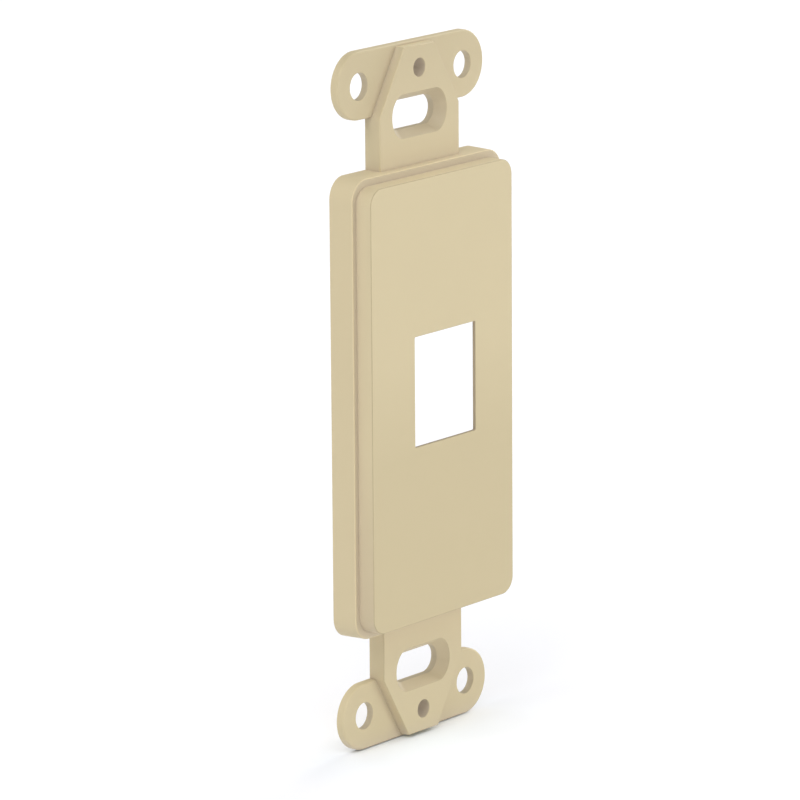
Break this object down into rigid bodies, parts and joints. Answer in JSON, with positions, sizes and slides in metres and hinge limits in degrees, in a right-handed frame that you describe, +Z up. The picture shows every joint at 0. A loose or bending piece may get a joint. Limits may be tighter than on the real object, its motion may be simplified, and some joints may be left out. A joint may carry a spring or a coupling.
{
  "type": "keystone faceplate",
  "caption": "Moulded plastic insert strap for a decorator cover plate: raised rectangular face with one keystone jack port, eared strap ends and flared screw slots.",
  "frame": {"origin": "middle of the screw pattern, in the plane of the strap's back, which is the surface of the wall or box", "axes": "+Z up along the strap, -Y out of the wall towards the viewer, +X to the viewer's right"},
  "size_m": [0.0352, 0.0069, 0.1044],
  "materials": {
    "ivory_plastic": "fine matt moulded surface, warm ivory"
  },
  "bodies": {
    "root": {"faceplate": "ivory_plastic"}
  },
  "joints": []
}
